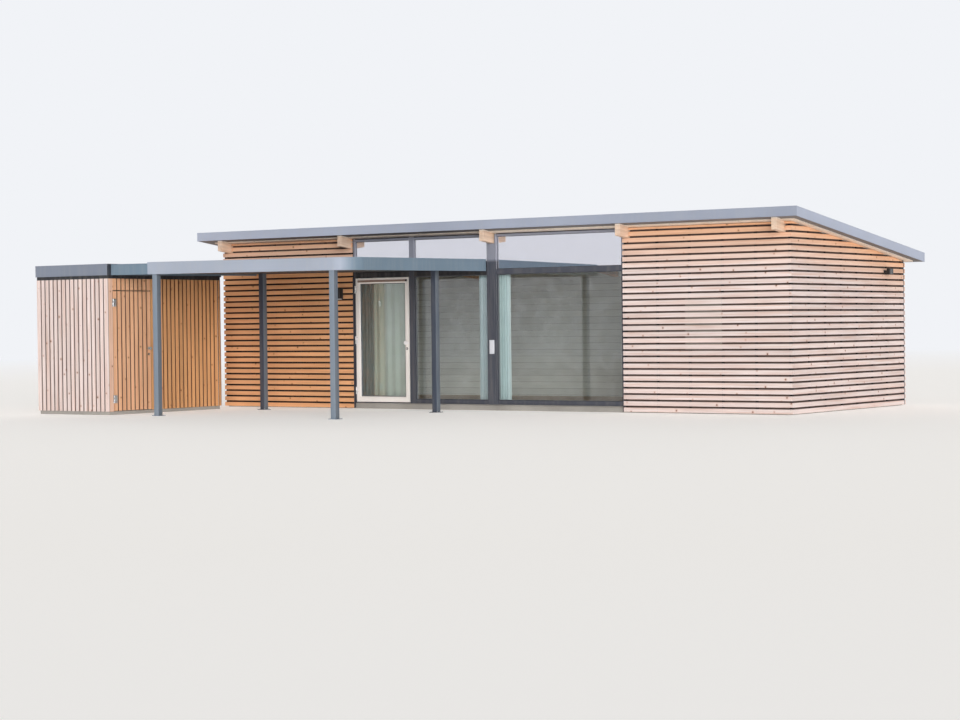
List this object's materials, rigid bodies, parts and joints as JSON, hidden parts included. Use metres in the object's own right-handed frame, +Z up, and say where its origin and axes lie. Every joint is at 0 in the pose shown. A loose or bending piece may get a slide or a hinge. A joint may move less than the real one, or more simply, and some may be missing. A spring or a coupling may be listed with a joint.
{
  "type": "beach house",
  "caption": "Single-storey timber beach house with slatted walls, a lean-to roof on laminated beams, a glazed front, a flat canopy on square posts and a slatted store",
  "frame": {"origin": "middle of the house's footprint at ground level, on the underside of the floor slab", "axes": "+Z up, the glazed front faces -Y, +X to the right seen from the front"},
  "size_m": [12.6103, 8.2353, 3.1622],
  "materials": {
    "floor": "grey-brown boards on a solid base",
    "wall_lining": "pale painted boards",
    "larch_slats": "oiled softwood slats with open joints",
    "glued_timber": "clear-lacquered laminated softwood",
    "plywood": "clear-lacquered birch plywood",
    "roof_membrane": "matt dark roofing membrane",
    "grey_metal": "satin blue-grey powder coat",
    "dark_metal": "matt anthracite powder coat",
    "post_metal": "satin slate-grey powder coat",
    "window_glass": "clear insulating glass",
    "cream_paint": "cream painted timber",
    "white_fittings": "white gloss",
    "pale_steel": "dull brushed steel",
    "black_metal": "matt black"
  },
  "bodies": {
    "house": {"floor_slab": "floor", "front_wall_left": "wall_lining", "front_wall_right": "wall_lining", "left_wall": "wall_lining", "right_wall": "wall_lining", "back_wall": "wall_lining", "cladding_front_left": "larch_slats", "cladding_front_right": "larch_slats", "cladding_left": "larch_slats", "cladding_right": "larch_slats", "cladding_back": "larch_slats", "end_trims": "dark_metal", "roof_beams": "glued_timber", "ceiling_board": "plywood", "roof_deck": "roof_membrane", "roof_fascia_front": "grey_metal", "roof_fascia_back": "grey_metal", "roof_fascia_sides": "grey_metal", "main_post": "dark_metal", "window_uprights": "dark_metal", "window_rails": "dark_metal", "window_panes": "window_glass", "hinge_frames": "pale_steel", "canopy_posts": "post_metal", "canopy_soffit": "dark_metal", "canopy_deck_slab": "roof_membrane", "canopy_fascia": "grey_metal", "store_floor_slab": "floor", "store_front_wall": "larch_slats", "store_back_wall": "larch_slats", "store_left_wall": "larch_slats", "store_right_wall": "larch_slats", "store_door_post": "larch_slats", "store_door_head": "larch_slats", "store_roof": "roof_membrane", "store_fascia_ring": "grey_metal", "wall_lamp": "black_metal", "floodlight": "black_metal", "post_plate": "white_fittings"},
    "front_door": {"door_leaf": "cream_paint", "door_glass": "window_glass", "door_fittings": "white_fittings"},
    "store_door": {"store_door": "larch_slats", "store_door_fittings": "pale_steel"}
  },
  "joints": [
    {"name": "front_door_hinge", "type": "hinge", "parent": "house", "child": "front_door", "pos_m": [-2.692, -2.096, 1.191], "axis": [0, 0, -1], "range_deg": [0, 95]},
    {"name": "store_door_hinge", "type": "hinge", "parent": "house", "child": "store_door", "pos_m": [-4.9493, -5.7223, 1.067], "axis": [0, 0, -1], "range_deg": [0, 95]}
  ]
}
